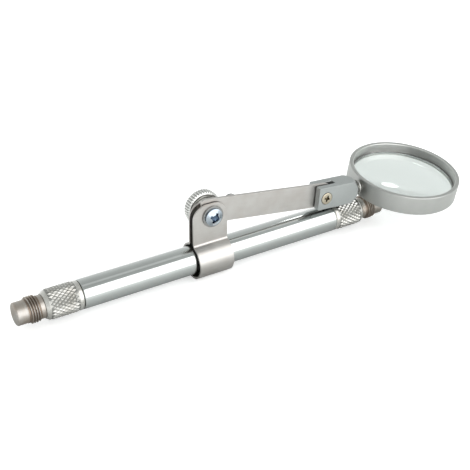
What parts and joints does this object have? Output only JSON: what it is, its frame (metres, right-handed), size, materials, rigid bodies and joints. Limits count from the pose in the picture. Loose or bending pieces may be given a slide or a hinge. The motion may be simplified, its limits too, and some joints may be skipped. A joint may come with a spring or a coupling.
{
  "type": "dental mirror handle with magnifier",
  "caption": "Round dental mirror handle with threaded ends and a clamped folding arm that carries a swivelling ring magnifier.",
  "frame": {"origin": "centre of the near end face of the handle, on the handle's axis", "axes": "+X along the handle to the far end, +Z from the handle towards the clamp screw, +Y towards the thumb nut"},
  "size_m": [0.14, 0.0336, 0.0234],
  "materials": {
    "polished_tube": "mirror-polished chrome plate with faint lengthwise polishing lines",
    "nickel_plate": "bright nickel plate, crisp diamond knurl and turned thread",
    "satin_sheet": "satin stainless sheet with a fine grain",
    "block_metal": "matte milled nickel plate",
    "ring_metal": "satin turned ring with fine turning lines",
    "zinc_screw": "bright bluish zinc plate",
    "brass_screw": "pale, slightly worn nickel over brass",
    "spring_steel": "dark bright spring steel",
    "clear_glass": "clear polished convex glass with a faint green tint at the edge"
  },
  "bodies": {
    "handle": {"handle_tube": "polished_tube", "near_threaded_plug": "nickel_plate", "near_knurled_collar": "nickel_plate", "far_threaded_plug": "nickel_plate", "far_knurled_collar": "nickel_plate"},
    "clip": {"tube_clip": "satin_sheet", "clamp_screw": "zinc_screw", "screw_washer": "spring_steel", "nut_washer": "spring_steel"},
    "nut": {"thumb_nut": "nickel_plate"},
    "arm": {"folding_arm": "satin_sheet", "stop_stud": "spring_steel"},
    "clevis": {"clevis_block": "block_metal", "clevis_screw": "brass_screw", "stem_grub_screw": "spring_steel"},
    "lens": {"swivel_stem": "nickel_plate", "stem_washer": "spring_steel", "lens_ring": "ring_metal", "magnifier_glass": "clear_glass", "retaining_ring": "spring_steel"}
  },
  "joints": [
    {"name": "clip_slide", "type": "slide", "parent": "handle", "child": "clip", "axis": [1, 0, 0], "range_m": [-0.008, 0.035]},
    {"name": "nut_spin", "type": "hinge", "parent": "clip", "child": "nut", "pos_m": [0.0562, -0.0003, 0.01285], "axis": [0, 1, 0], "continuous": true},
    {"name": "arm_fold", "type": "hinge", "parent": "clip", "child": "arm", "pos_m": [0.0562, -0.0003, 0.01285], "axis": [0, -1, 0], "range_deg": [0, 107]},
    {"name": "clevis_tilt", "type": "hinge", "parent": "arm", "child": "clevis", "pos_m": [0.09298, -0.0003, 0.00866], "axis": [0, -1, 0], "range_deg": [0, 90]},
    {"name": "lens_swivel", "type": "hinge", "parent": "clevis", "child": "lens", "pos_m": [0.09298, -0.0003, 0.00866], "axis": [0.9973, 0, -0.0732], "range_deg": [-12, 8]}
  ]
}
